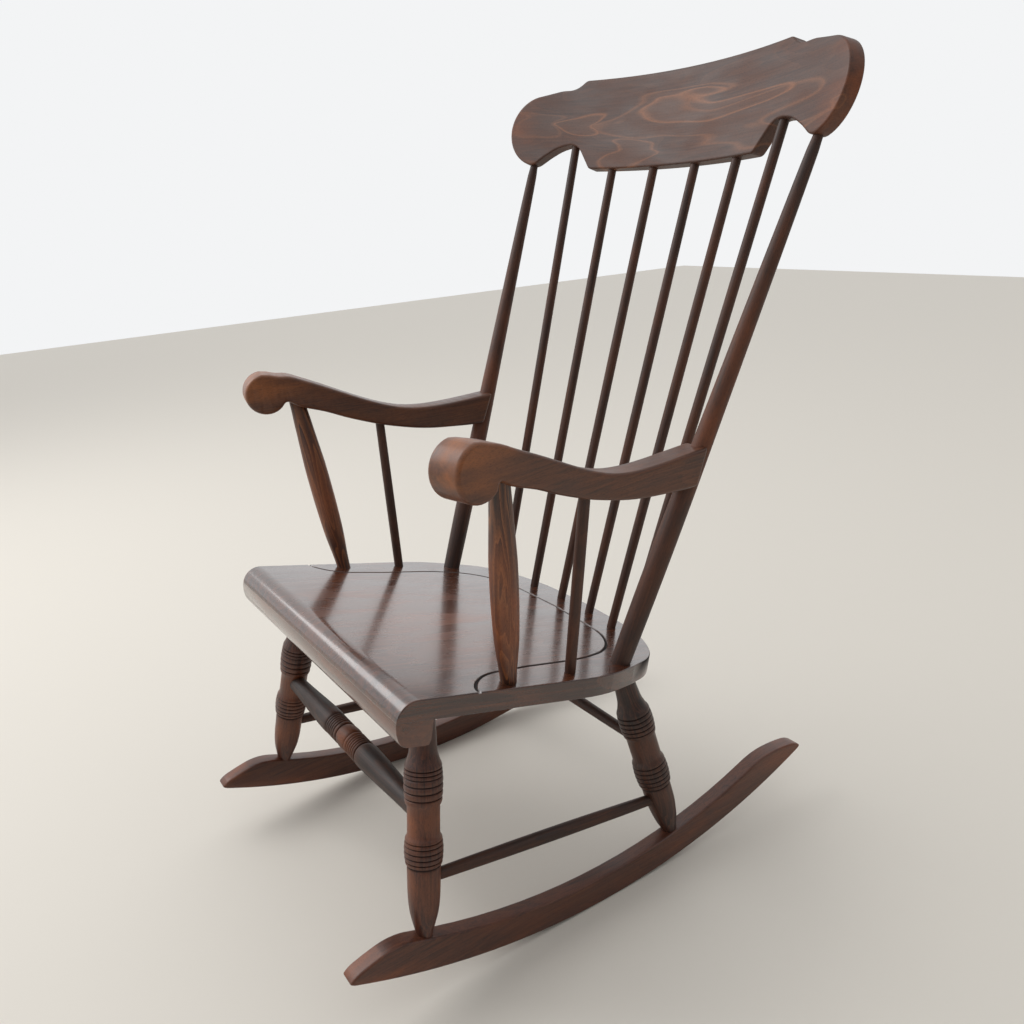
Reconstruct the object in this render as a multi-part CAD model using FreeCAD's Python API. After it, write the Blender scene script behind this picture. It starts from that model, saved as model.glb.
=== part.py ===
import FreeCAD, Part
import math
import os

from FreeCAD import Placement, Rotation, Vector

# A turned-leg rocking chair with a rolled seat, scrolled arms and a curved crest rail.
# Millimetres and degrees. The sitter faces -Y, the floor is z = 0, and +X is the sitter's left.

# Rockers
rocker_radius = 924.0        # the long arc that rolls on the floor
balance_y = -16.6            # where that arc touches the floor, below the centre of mass
rest_length = 22.0           # middle stretch of that arc, on which the chair stands
runner_thick = 23.5
runner_mid_x = 233.5
runner_depth = 38.5          # height of the board at its lowest point
runner_top_radius = 781.0
runner_top_y = -17.5         # lowest point of the upper arc
nose_y = -387.5              # front tip
tail_y = 358.5               # rear tip
nose_drop = 15.2             # hump behind the front tip, below the upper arc carried on
nose_hump_in = 42.0          # and in from the tip
tail_drop = 9.7
tail_hump_in = 62.0
tip_rise = 1.5               # toe of each tip above the rolling arc
runner_edge_break = 2.5

# Seat board, drawn flat and then tilted back
seat_height = 325.0          # top of the board at the row of the back posts
back_row_y = 35.5
seat_tilt = 14.04
seat_half = 252.0
seat_thick = 25.5
seat_front = 336.7           # from the row of the back posts forward to the rolled edge
seat_back = 118.5            # and backward to the rear edge
seat_edge_break = 2.5
seat_corner_y = -83.0        # the straight sides end here, in front of the back posts' row
seat_corner = ((1.0, 0.0), (0.966, 0.303), (0.877, 0.6), (0.762, 0.779), (0.595, 0.898), (0.317, 0.98), (0.0, 1.0))
roll_depth = 45.5            # strip glued under the front edge
roll_height = 29.5
roll_round = 14.0
groove_wide = 4.0            # carved line round the sitting area
groove_deep = 2.0
groove_front = 233.0
groove_back = 56.2
groove_path = ((0.0, 0.0), (0.397, 0.021), (0.595, 0.086), (0.726, 0.235), (0.778, 0.488), (0.81, 0.834), (0.944, 1.0))

# Crest rail, a bent board that leans back
crest_base_y = 328.5         # front face at the middle of the lower edge
crest_base_z = 926.5
crest_lean = 16.7
crest_bend = 885.0           # radius of the hollow front face
crest_thick = 20.0
crest_high = 133.5
crest_half = 331.0
ear_round = 54.0
crest_edge_break = 2.5

# Back posts and spindles
stile_foot_x = 216.5
stile_head_share = 0.864     # of the crest rail's half length
stile_foot_r = 12.8
stile_full_r = 13.7
stile_joint_r = 13.0          # where the arm is fixed
stile_head_r = 5.7
spindle_foot_x = (34.8, 96.9, 154.0)
spindle_foot_set = (90.5, 82.5, 63.5)      # behind the back posts' row
spindle_head_share = (0.129, 0.386, 0.634)
spindle_end_r = 6.2
spindle_mid_r = 6.9

# Arms
arm_height = 597.0           # top of the arm at the back post
arm_wide = 38.0
arm_front_x = 293.5
arm_front_y = -240.0
arm_edge_break = 2.5
scroll_r = 29.0
scroll_y = -210.5
scroll_rise = 52.5           # scroll centre above the top of the rear end
arm_deep = 37.0              # height of the arm at the middle
arm_set_in = 8.3             # end of the arm in front of the post's middle line

# Arm supports
post_foot_x = 233.3
post_foot_y = -144.5
post_head_y = -165.0
post_r = 16.4
arm_spindle_foot_x = 229.0
arm_spindle_foot_y = -53.5
arm_spindle_head_y = -44.0
arm_spindle_r = 7.0

# Legs: where the axis meets the underside of the seat, and where it meets the rocker
front_leg_top = (183.0, -230.5)
front_leg_foot_y = -285.5
rear_leg_top = (188.0, 58.5)
rear_leg_foot_y = 101.5
leg_foot_x = 232.0
leg_top_r = 13.5
leg_r = 19.6                 # plain lengths
leg_bead_r = 22.2            # valleys between the reeds
leg_foot_r = 9.4
bead_rise = 1.0
groove_cut = 1.2
front_reeds = ((205, 163, 2), (119, 89, 2))    # from and to above the foot, and how many grooves
rear_reeds = ((194, 157, 2), (117, 79, 2))

# Stretchers
front_stretcher_z = 224.0
front_stretcher_r = 16.6
reeded_half = 48.0           # grooved length at each side of the middle
bead_half = 13.3
stretcher_grooves = 2
rear_stretcher_z = 183.0
rear_stretcher_r = 8.2
side_front_z = 150.0
side_rear_z = 98.0
side_stretcher_r = 8.7

# Joints
joint_gap = 0.15             # between a tenon and its socket, all round
socket_depth = 17.0
socket_spare = 0.3           # socket deeper than its tenon
tenon_root = 6.0             # tenon's start inside its own piece
stile_head_depth = 24.0
post_tenon_r = 8.0
leg_tenon_r = 9.0
foot_tenon_r = 6.8
stretcher_tenon_r = 6.3
bar_short = 2.0              # plain stretchers end this far from the middle line of the leg
stile_tenon_r = 9.0
screw_r = 2.0
screw_head_r = 4.4
screw_length = 46.0
past_all = 1000.0            # longer than any piece, for the blocks and rays that cut them

seat_place = Placement(Vector(0, back_row_y, seat_height), Rotation(Vector(1, 0, 0), -seat_tilt))
crest_place = Placement(Vector(0, crest_base_y, crest_base_z), Rotation(Vector(1, 0, 0), -crest_lean))
seat_slope = math.tan(math.radians(seat_tilt))
seat_drop = seat_thick / math.cos(math.radians(seat_tilt))
runner_inner_x = runner_mid_x - runner_thick / 2
runner_outer_x = runner_mid_x + runner_thick / 2


def across(a, b):
    """Point of an outline that is drawn in the plane of Y and Z."""
    return Vector(0, a, b)


def flat(a, b):
    """Point of an outline that is drawn in the plane of X and Y."""
    return Vector(a, b, 0)


def upright(a, b):
    """Point of an outline that is drawn in the plane of X and Z."""
    return Vector(a, 0, b)


def stretch(points, to_space):
    """Stretch of an outline: a line, an arc through three points, or a smooth curve."""
    placed = [to_space(*point) for point in points]
    if len(placed) == 2:
        return Part.makeLine(*placed)
    if len(placed) == 3:
        return Part.Arc(*placed).toShape()
    curve = Part.BSplineCurve()
    curve.interpolate(placed)
    return curve.toShape()


def corners(points):
    """Straight stretches from corner to corner."""
    return list(zip(points, points[1:]))


def outline_of(stretches, to_space):
    return [stretch(points, to_space) for points in stretches]


def arc_chain(points, heading, to_space):
    """Arcs from point to point, each one tangent to the one before it."""
    edges = []
    for (x0, y0), (x1, y1) in zip(points, points[1:]):
        chord = math.atan2(y1 - y0, x1 - x0)
        turn = math.remainder(heading - chord, 2 * math.pi)
        if abs(turn) < 0.002:
            edges.append(Part.makeLine(to_space(x0, y0), to_space(x1, y1)))
        else:
            bulge = math.hypot(x1 - x0, y1 - y0) / 2 * math.tan(turn / 2)
            middle_x = (x0 + x1) / 2 - math.sin(chord) * bulge
            middle_y = (y0 + y1) / 2 + math.cos(chord) * bulge
            middle = to_space(middle_x, middle_y)
            edges.append(Part.Arc(to_space(x0, y0), middle, to_space(x1, y1)).toShape())
        heading = chord - turn
    return edges


def face_of(edges):
    return Part.Face(Part.Wire(Part.__sortEdges__(edges)))


def swap_side(shape):
    return shape.mirror(Vector(0, 0, 0), Vector(1, 0, 0))


def turned(start, end, stretches):
    """Solid of revolution about the line from start to end.

    Each stretch is a list of (distance from start, radius).
    """
    first = stretches[0][0][0]
    last = stretches[-1][-1][0]
    closing = [[(last, stretches[-1][-1][1]), (last, 0)], [(last, 0), (first, 0)]]
    closing.append([(first, 0), (first, stretches[0][0][1])])
    edges = outline_of(stretches + closing, lambda distance, radius: Vector(radius, 0, distance))
    solid = Part.Face(Part.Wire(edges)).revolve(Vector(0, 0, 0), Vector(0, 0, 1), 360)
    solid.Placement = Placement(start, Rotation(Vector(0, 0, 1), end - start))
    return solid


def grooved(start, end, grooves, radius, rise):
    """A row of rings with narrow grooves between them, highest in the middle."""
    pitch = (end - start) / (grooves + 1)
    row = []
    for i in range(grooves + 1):
        level = radius + rise * min(i, grooves - i)
        low = start + pitch * i + (groove_cut if i else 0)
        high = start + pitch * (i + 1) - (groove_cut if i < grooves else 0)
        row += [(low, level), (high, level)]
        if i < grooves:
            row.append((high + groove_cut, radius - groove_cut))
    return corners(row)


def rod(start, end, radius):
    return Part.makeCylinder(radius, (end - start).Length, start, end - start)


def on_seat(x, y):
    return Vector(x, y, seat_height - seat_slope * (y - back_row_y))


def under_seat(x, y):
    return on_seat(x, y) - Vector(0, 0, seat_drop)


def runner_bottom(y):
    return rocker_radius - math.sqrt(rocker_radius ** 2 - (y - balance_y) ** 2)


def runner_top(y):
    rise = runner_top_radius - math.sqrt(runner_top_radius ** 2 - (y - runner_top_y) ** 2)
    return runner_depth + rise


def beyond(start, end, distance):
    """Point past the end of a line."""
    return end + (end - start).normalize() * distance


def at_height(line, z):
    start, end = line
    return start + (end - start) * ((z - start.z) / (end.z - start.z))


def edges_where(shape, test):
    return [edge for edge in shape.Edges if test(edge)]


def middle_of(edge):
    low, high = edge.ParameterRange
    return edge.valueAt((low + high) / 2)


def make_runner():
    nose_top = nose_y + 2 * nose_hump_in
    tail_top = tail_y - 1.7 * tail_hump_in
    nose_high = nose_y + nose_hump_in
    tail_high = tail_y - tail_hump_in
    nose_tip = (nose_y, runner_bottom(nose_y) + tip_rise)
    tail_tip = (tail_y, runner_bottom(tail_y) + tip_rise)
    nose_toe = (nose_y + 4 * tip_rise, runner_bottom(nose_y + 4 * tip_rise))
    tail_toe = (tail_y - 4 * tip_rise, runner_bottom(tail_y - 4 * tip_rise))
    nose_peak = (nose_high, runner_top(nose_high) - nose_drop)
    tail_peak = (tail_high, runner_top(tail_high) - tail_drop)
    nose_scoop = (nose_y + 8 * tip_rise, runner_bottom(nose_y + 8 * tip_rise) + runner_depth * 0.3)
    tail_scoop = (tail_y - 6 * tip_rise, runner_bottom(tail_y - 6 * tip_rise) + runner_depth * 0.17)
    top_start = (nose_top, runner_top(nose_top))
    top_end = (tail_top, runner_top(tail_top))
    lowest = (runner_top_y, runner_depth)
    outline = arc_chain([lowest, top_end, tail_peak, tail_scoop], 0.0, across)
    outline += arc_chain([lowest, top_start, nose_peak, nose_scoop], math.pi, across)
    outline += outline_of(corners([tail_scoop, tail_tip, tail_toe]), across)
    outline += outline_of(corners([nose_scoop, nose_tip, nose_toe]), across)
    rolling = [nose_toe[0], balance_y - rest_length / 2, balance_y + rest_length / 2, tail_toe[0]]
    for low, high in zip(rolling, rolling[1:]):
        outline += outline_of([[(y, runner_bottom(y)) for y in (low, (low + high) / 2, high)]], across)
    board = face_of(outline).extrude(Vector(runner_thick, 0, 0))
    board.translate(Vector(runner_inner_x, 0, 0))

    def long_upper_edge(edge):
        point = middle_of(edge)
        on_side = min(abs(point.x - runner_inner_x), abs(point.x - runner_outer_x)) < 0.01
        inside = nose_scoop[0] + 1 < point.y < tail_scoop[0] - 1
        return on_side and inside and point.z > runner_bottom(point.y) + 8

    return board.makeChamfer(runner_edge_break, edges_where(board, long_upper_edge))


def make_seat():
    depth = seat_back - seat_corner_y
    corner = [(seat_half * x, seat_corner_y + depth * y) for x, y in seat_corner]
    left = [Part.makeLine(flat(seat_half, -past_all), flat(*corner[0]))] + arc_chain(corner, math.pi / 2, flat)
    plan = left + [swap_side(edge) for edge in left]
    plan.append(Part.makeLine(flat(-seat_half, -past_all), flat(seat_half, -past_all)))
    board = face_of(plan).extrude(Vector(0, 0, -seat_thick))

    crown = [
        (-seat_front + seat_thick * 1.57, 0),
        (-seat_front + seat_thick * 0.69, -seat_thick * 0.14),
        (-seat_front, -seat_thick),
    ]
    section = arc_chain(crown, math.pi, across)
    section += outline_of(corners([crown[0], (past_all, 0), (past_all, -seat_thick), crown[-1]]), across)
    slab = face_of(section).extrude(Vector(2 * past_all, 0, 0))
    slab.translate(Vector(-past_all, 0, 0))
    board = board.common(slab)

    def rim(edge):
        point = middle_of(edge)
        at_rear = point.y > seat_corner_y and abs(point.z) < 0.01
        at_side = abs(abs(point.x) - seat_half) < 0.01 and point.z > -seat_thick + 1
        return at_rear or at_side

    board = board.makeChamfer(seat_edge_break, edges_where(board, rim))
    board = board.cut(make_groove())
    board.Placement = seat_place
    return board


def make_groove():
    """The path of the line carved in the seat, widened to the cutter's width and sunk."""
    depth = groove_back + groove_front
    path = [(seat_half * x, groove_back - depth * y) for x, y in groove_path]
    path.append((seat_half + groove_wide, -groove_front))
    half = arc_chain(path, 0.0, flat)
    wire = Part.Wire(Part.__sortEdges__(half + [swap_side(edge) for edge in half]))
    slot = Part.Face(wire.makeOffset2D(groove_wide / 2, 0, False, False))
    slot.translate(Vector(0, 0, -groove_deep))
    return slot.extrude(Vector(0, 0, 2 * groove_deep))


def make_seat_roll():
    start = (-seat_front, -seat_thick)
    low = (-seat_front + roll_round * 1.14, -seat_thick - roll_height * 0.97)
    back_low = (-seat_front + roll_depth * 0.91, -seat_thick - roll_height)
    back = (-seat_front + roll_depth, -seat_thick - roll_height * 0.86)
    top = (-seat_front + roll_depth, -seat_thick)
    middle = (start[0] + roll_round * 0.16, start[1] - roll_round)
    section = arc_chain([start, middle, low], -math.pi / 2, across)
    section += outline_of(corners([low, back_low, back, top, start]), across)
    strip = face_of(section).extrude(Vector(2 * seat_half, 0, 0))
    strip.translate(Vector(-seat_half, 0, 0))

    def end_edge(edge):
        point = middle_of(edge)
        return abs(abs(point.x) - seat_half) < 0.01 and point.z < -seat_thick - 0.5

    strip = strip.makeChamfer(seat_edge_break / 2, edges_where(strip, end_edge))
    strip.Placement = seat_place
    return strip


def crest_outline():
    """Half of the crest rail's outline, from the middle of the lower edge round to the top."""
    ear = ear_round
    ear_x = crest_half - ear
    ear_z = ear * 1.09
    return [
        (0, 0),
        (ear_x - ear * 2.11, 0),
        (ear_x - ear * 1.96, ear * 0.074),
        (ear_x - ear * 1.61, ear * 0.5),
        (ear_x - ear * 1.17, ear * 0.674),
        (ear_x - ear * 0.59, ear * 0.504),
        (ear_x - ear * 0.09, ear * 0.18),
        (ear_x + ear * 0.24, ear * 0.113),
        (crest_half, ear_z),
        (ear_x + ear * 0.24, 2 * ear_z - ear * 0.113),
        (ear_x - ear * 0.5, crest_high - ear * 0.265),
        (ear_x - ear * 0.78, crest_high - ear * 0.25),
        (ear_x - ear * 1.315, crest_high - ear * 0.063),
        (ear_x - ear * 1.48, crest_high),
    ]


def make_crest():
    half = crest_outline()
    right = arc_chain(half, 0.0, upright)
    right.append(Part.makeLine(upright(*half[-1]), upright(0, crest_high)))
    edges = right + [swap_side(edge) for edge in right]
    board = face_of(edges).extrude(Vector(0, crest_half, 0))
    board.translate(Vector(0, -crest_half / 2, 0))
    low = Vector(0, -crest_bend, -crest_thick)
    ring = Part.makeCylinder(crest_bend + crest_thick, crest_high + 2 * crest_thick, low)
    ring = ring.cut(Part.makeCylinder(crest_bend, crest_high + 2 * crest_thick, low))
    rail = board.common(ring)

    def on_faces(edge):
        point = middle_of(edge)
        reach = math.hypot(point.x, point.y + crest_bend)
        near_face = min(abs(reach - crest_bend), abs(reach - crest_bend - crest_thick)) < 0.01
        ends = [vertex.Point for vertex in edge.Vertexes]
        along = max(abs(ends[0].x - ends[-1].x), abs(ends[0].z - ends[-1].z)) > 0.5
        return near_face and along

    rail = rail.makeChamfer(crest_edge_break, edges_where(rail, on_faces))
    rail.Placement = crest_place
    return rail


def crest_socket(x):
    """Middle of the crest rail's thickness on its lower edge, at a distance from the middle."""
    half = crest_outline()
    edges = arc_chain(half[:9], 0.0, upright)
    ray = Part.makeLine(upright(x, -past_all), upright(x, half[8][1]))
    height = min(edge.distToShape(ray)[1][0][0].z for edge in edges if edge.distToShape(ray)[0] < 0.01)
    middle = crest_bend + crest_thick / 2
    depth = math.sqrt(middle ** 2 - x ** 2) - crest_bend
    return crest_place.multVec(Vector(x, depth, height))


def make_arm(stile_line):
    """The left arm: a side view and a plan view, each cut through the same block."""
    rear = at_height(stile_line, arm_height)
    rear_deep = arm_deep * 1.24
    low = at_height(stile_line, arm_height - rear_deep)
    lean = (rear.y - low.y) / (rear.z - low.z)
    end_y = rear.y - arm_set_in / math.cos(math.atan(lean))
    low_y = end_y - lean * rear_deep
    length = end_y - scroll_y
    scroll_z = arm_height + scroll_rise
    top = [
        (scroll_y + scroll_r * 0.28, scroll_z + scroll_r * 0.96),
        (scroll_y + scroll_r * 1.03, scroll_z + scroll_r * 0.72),
        (scroll_y + length * 0.326, arm_height + arm_deep),
        (scroll_y + length * 0.495, arm_height + arm_deep * 0.284),
        (scroll_y + length * 0.648, arm_height - arm_deep * 0.06),
        (scroll_y + length * 0.788, arm_height - arm_deep * 0.08),
        (end_y, arm_height),
    ]
    notch = (scroll_y + scroll_r * 0.93, scroll_z - scroll_r * 0.466)
    under = [
        notch,
        (scroll_y + length * 0.148, arm_height + arm_deep * 0.65),
        (scroll_y + length * 0.312, arm_height + arm_deep * 0.04),
        (scroll_y + length * 0.467, arm_height - arm_deep * 0.62),
        (scroll_y + length * 0.662, arm_height - arm_deep),
        (low_y, arm_height - rear_deep),
    ]
    scroll_end = (scroll_y + scroll_r * 0.66, scroll_z - scroll_r * 0.75)
    scroll = [top[0], (scroll_y - scroll_r, scroll_z), scroll_end]
    side = outline_of([top, scroll, [scroll_end, notch], under, [under[-1], top[-1]]], across)
    block = face_of(side).extrude(Vector(past_all, 0, 0))

    spine = arm_spine(stile_line)
    outer = [(x + arm_wide / 2, y) for x, y in spine]
    inner = [(x - arm_wide / 2, y) for x, y in spine]
    plan = outline_of([outer, inner, [outer[0], inner[0]], [outer[-1], inner[-1]]], flat)
    footprint = face_of(plan).extrude(Vector(0, 0, past_all))
    arm = block.common(footprint)

    def long_edge(edge):
        point = middle_of(edge)
        faces = arm.ancestorsOfType(edge, Part.Face)
        turned_up = [abs(face.normalAt(*face.Surface.parameter(point)).x) for face in faces]
        return max(turned_up) > 0.8 and min(turned_up) < 0.2 and point.y < end_y - arm_deep

    return arm.makeChamfer(arm_edge_break, edges_where(arm, long_edge))


def arm_spine(stile_line):
    """Middle line of the arm seen from above, from before the scroll to behind the back post."""
    rear = at_height(stile_line, arm_height)
    length = rear.y - arm_front_y
    return [
        (arm_front_x + arm_wide * 0.24, arm_front_y - arm_wide),
        (arm_front_x - arm_wide * 0.82, arm_front_y + length * 0.457),
        (rear.x - arm_wide * 0.13, rear.y + arm_wide),
    ]


def arm_middle(y, spine):
    curve = stretch(spine, flat)
    ray = Part.makeLine(flat(0, y), flat(past_all, y))
    return curve.distToShape(ray)[1][0][0].x


def make_leg(top, foot, rows):
    """A leg from under the seat to the rocker, with two rows of reeds placed from the foot."""
    length = (foot - top).Length
    (high_start, high_end, high_count), (low_start, low_end, low_count) = (
        (length - start, length - end, count) for start, end, count in rows)
    neck = [(-8, leg_top_r), (8, leg_top_r), (high_start - 7, leg_top_r + 3.6), (high_start, leg_bead_r)]
    waist = [(high_end, leg_bead_r), (high_end + 3, leg_r), (low_start - 3, leg_r), (low_start, leg_bead_r)]
    ankle = [(low_end, leg_bead_r), (low_end + 3, leg_r), (length - 48, leg_r), (length - 26, leg_r - 3.0)]
    foot_end = [(length - 5, leg_foot_r), (length + 4, leg_foot_r)]
    outline = corners(neck) + grooved(high_start, high_end, high_count, leg_bead_r, bead_rise)
    outline += corners(waist) + grooved(low_start, low_end, low_count, leg_bead_r, bead_rise)
    return turned(top, foot, outline + corners(ankle + foot_end))


def make_front_stretcher(left_end):
    """Turned bar with a plain centre bead and reeds at each side of it."""
    right_end = Vector(-left_end.x, left_end.y, left_end.z)
    half = left_end.x
    r = front_stretcher_r
    row_start = half - reeded_half
    left = corners([(11, r - 4.6), (32, r - 4.6), (row_start - groove_cut, r), (row_start, r - bead_rise)])
    left += grooved(row_start, half - bead_half, stretcher_grooves, r - bead_rise, 0.6)
    right = [[(2 * half - s, radius) for s, radius in reversed(part)] for part in reversed(left)]
    edge = left[-1][-1][0]
    low = r - bead_rise - groove_cut
    bead = [left[-1][-1], (edge + groove_cut, low), (edge + 2 * groove_cut, r), (2 * half - edge - 2 * groove_cut, r)]
    bead += [(2 * half - edge - groove_cut, low), right[0][0]]
    return turned(left_end, right_end, left + corners(bead) + right)


def plain_bar(start, end, radius):
    """Round stretcher, thickest in the middle, whose ends go into holes on the legs' middle lines.

    Returns the bar and its holes, as one longer and wider rod.
    """
    length = (end - start).Length
    end_r = radius - 1.5
    outline = [(bar_short, end_r), (length / 2, radius), (length - bar_short, end_r)]
    widest_in_hole = end_r + (radius - end_r) * 4 * leg_r / length
    hole_start = start + (end - start).normalize() * (bar_short - socket_spare)
    hole_end = end - (end - start).normalize() * (bar_short - socket_spare)
    return turned(start, end, [outline]), rod(hole_start, hole_end, widest_in_hole + joint_gap)


def tenoned(piece, host, start, end, radius):
    """Trim a piece at its host's surface, where end lies, and give it a tenon.

    Returns the piece and the socket that its host needs.
    """
    reach = (end - start).normalize()
    tenon = rod(end - reach * tenon_root, end + reach * socket_depth, radius)
    socket = rod(end - reach * tenon_root, end + reach * (socket_depth + socket_spare), radius + joint_gap)
    return piece.cut(host).fuse(tenon).removeSplitter(), socket


def both_sides(shapes):
    return shapes + [swap_side(shape) for shape in shapes]


def with_cuts(host, cuts):
    for cut in cuts:
        host = host.cut(cut)
    return host


def underside(arm, x, y):
    """Lowest point of the arm above or below a place in the plan."""
    inside = arm.common(Part.makeLine(Vector(x, y, 0), Vector(x, y, past_all)))
    return Vector(x, y, min(vertex.Point.z for vertex in inside.Vertexes))


def arm_joint(line):
    """Where the middle of the arm's rear end meets the back post's middle line."""
    return at_height(line, arm_height - arm_deep / 2)


def make_stile(line):
    """A back post that tapers upwards, and the hole for its head in the crest rail."""
    start, end = line
    length = (end - start).Length
    low = (arm_joint(line) - start).Length - arm_deep / 2
    high = low + arm_deep
    slim = (length * 0.72, stile_joint_r - 2.8)
    outline = corners([(-7, stile_foot_r), (14, stile_foot_r)])
    outline.append([(14, stile_foot_r), (length * 0.2, stile_full_r), (low, stile_joint_r)])
    outline += corners([(low, stile_joint_r), (high, stile_joint_r), slim, (length, stile_head_r)])
    outline.append([(length, stile_head_r), (length + stile_head_depth, stile_head_r)])
    stile = turned(start, end, outline)
    return stile, rod(beyond(end, start, -length + 10), beyond(start, end, stile_head_depth + socket_spare),
                      stile_head_r + joint_gap)


def make_screw(line, extra=0.0):
    """Countersunk screw from behind the back post into the arm, or with extra its hole."""
    start, end = line
    axis = (end - start).normalize()
    forward = Vector(0, -1, 0)
    forward = (forward - axis * axis.dot(forward)).normalize()
    back = arm_joint(line) - forward * (stile_joint_r - 0.5)
    outline = [
        (-20 * extra, screw_head_r + extra),
        (0, screw_head_r + extra),
        (screw_head_r - screw_r, screw_r + extra),
        (screw_length + extra, screw_r + extra),
    ]
    first = 0 if extra else 1
    pairs = [outline[i:i + 2] for i in range(first, len(outline) - 1)]
    return turned(back, back + forward, pairs)


def make_post(start, end):
    """Vase-shaped front support of an arm."""
    length = (end - start).Length
    belly = [(length * 0.4, post_r), (length * 0.62, post_r)]
    foot = [(-7, post_r - 6.4), (5, post_r - 6.4)]
    head = [(length - 14, post_r - 3.4), (length + 8, post_r - 3.4)]
    return turned(start, end, corners(foot + [(length * 0.2, post_r - 2.6)] + belly + head))


def make_spindle(start, end):
    """One back spindle and its two holes, as one longer and wider rod."""
    outer_start = beyond(end, start, socket_depth)
    outer_end = beyond(start, end, socket_depth)
    length = (outer_end - outer_start).Length
    outline = [(0, spindle_end_r), (length / 2, spindle_mid_r), (length, spindle_end_r)]
    spindle = turned(outer_start, outer_end, [outline])
    widest_in_socket = spindle_end_r + (spindle_mid_r - spindle_end_r) * 4 * socket_depth / length
    hole_start = beyond(end, start, socket_depth + socket_spare)
    hole_end = beyond(start, end, socket_depth + socket_spare)
    return spindle, rod(hole_start, hole_end, widest_in_socket + joint_gap)


def make_back(parts, seat, crest):
    """Back posts and spindles, cut into the seat board and the crest rail."""
    stile_line = (on_seat(stile_foot_x, back_row_y), crest_socket(crest_half * stile_head_share))
    stile, crest_hole = make_stile(stile_line)
    stile, seat_hole = tenoned(stile, seat, stile_line[1], stile_line[0], stile_tenon_r)
    seat_cuts = [seat_hole]
    crest_cuts = [crest_hole]
    spindles = []
    for foot_x, set_back, share in zip(spindle_foot_x, spindle_foot_set, spindle_head_share):
        foot = on_seat(foot_x, back_row_y + set_back)
        spindle, hole = make_spindle(foot, crest_socket(crest_half * share))
        spindles.append(spindle)
        seat_cuts.append(hole)
        crest_cuts.append(hole)
    row = spindles[::-1] + [swap_side(spindle) for spindle in spindles]
    for number, spindle in enumerate(row, start=1):
        parts["back_spindle_%d" % number] = spindle
    parts["crest_rail"] = with_cuts(crest, both_sides(crest_cuts))
    return stile, stile_line, seat_cuts


def make_arm_side(sides, seat, stile, stile_line):
    """Arm, its two supports and its screw."""
    arm = make_arm(stile_line)
    spine = arm_spine(stile_line)
    screw_hole = make_screw(stile_line, joint_gap)
    arm = arm.cut(stile)

    post_start = on_seat(post_foot_x, post_foot_y)
    post_end = underside(arm, arm_middle(post_head_y, spine), post_head_y)
    post = make_post(post_start, post_end)
    post, arm_hole = tenoned(post, arm, post_start, post_end, post_tenon_r)
    post, seat_hole = tenoned(post, seat, post_end, post_start, post_tenon_r)

    foot = on_seat(arm_spindle_foot_x, arm_spindle_foot_y)
    head = underside(arm, arm_middle(arm_spindle_head_y, spine), arm_spindle_head_y)
    low = beyond(head, foot, socket_depth)
    high = beyond(foot, head, socket_depth)
    hole = rod(beyond(head, low, socket_spare), beyond(foot, high, socket_spare), arm_spindle_r + joint_gap)

    sides["arm"] = with_cuts(arm, [screw_hole, arm_hole, hole])
    sides["stile"] = stile.cut(screw_hole)
    sides["arm_post"] = post
    sides["arm_spindle"] = rod(low, high, arm_spindle_r)
    return [seat_hole, hole]


def make_base(parts, sides, seat):
    """Legs, stretchers and rockers."""
    runner = make_runner()
    front_line = (under_seat(*front_leg_top), Vector(leg_foot_x, front_leg_foot_y, runner_top(front_leg_foot_y)))
    rear_line = (under_seat(*rear_leg_top), Vector(leg_foot_x, rear_leg_foot_y, runner_top(rear_leg_foot_y)))
    front_leg = make_leg(*front_line, front_reeds)
    rear_leg = make_leg(*rear_line, rear_reeds)
    front_cuts = []
    rear_cuts = []

    front_end = at_height(front_line, front_stretcher_z)
    bar, hole = cross_bar(make_front_stretcher(front_end), front_leg, front_end)
    parts["front_stretcher"] = bar
    front_cuts.append(hole)
    rear_end = at_height(rear_line, rear_stretcher_z)
    parts["rear_stretcher"], hole = plain_bar(rear_end, opposite(rear_end), rear_stretcher_r)
    rear_cuts.append(hole)

    side_front = at_height(front_line, side_front_z)
    side_rear = at_height(rear_line, side_rear_z)
    sides["side_stretcher"], hole = plain_bar(side_front, side_rear, side_stretcher_r)
    front_cuts.append(hole)
    rear_cuts.append(hole)

    seat_cuts = []
    for name, leg, line, cuts in (("front_leg", front_leg, front_line, front_cuts),
                                  ("rear_leg", rear_leg, rear_line, rear_cuts)):
        top, foot = line
        leg, seat_hole = tenoned(leg, seat, foot, top, leg_tenon_r)
        leg, runner_hole = tenoned(leg, runner, top, foot, foot_tenon_r)
        seat_cuts.append(seat_hole)
        sides[name] = with_cuts(leg, cuts)
        runner = runner.cut(runner_hole)
    sides["runner"] = runner
    return seat_cuts


def opposite(point):
    return Vector(-point.x, point.y, point.z)


def into_leg(bar, leg, start, end):
    """Set the end of a bar, which lies on a leg's middle line, into that leg."""
    surface = end - (end - start).normalize() * leg_r
    return tenoned(bar, leg, start, surface, stretcher_tenon_r)


def cross_bar(bar, leg, end):
    """Set a bar that runs across the chair into the legs at its two ends."""
    bar, hole = into_leg(bar, leg, opposite(end), end)
    bar, _ = into_leg(bar, swap_side(leg), end, opposite(end))
    return bar, hole


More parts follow.
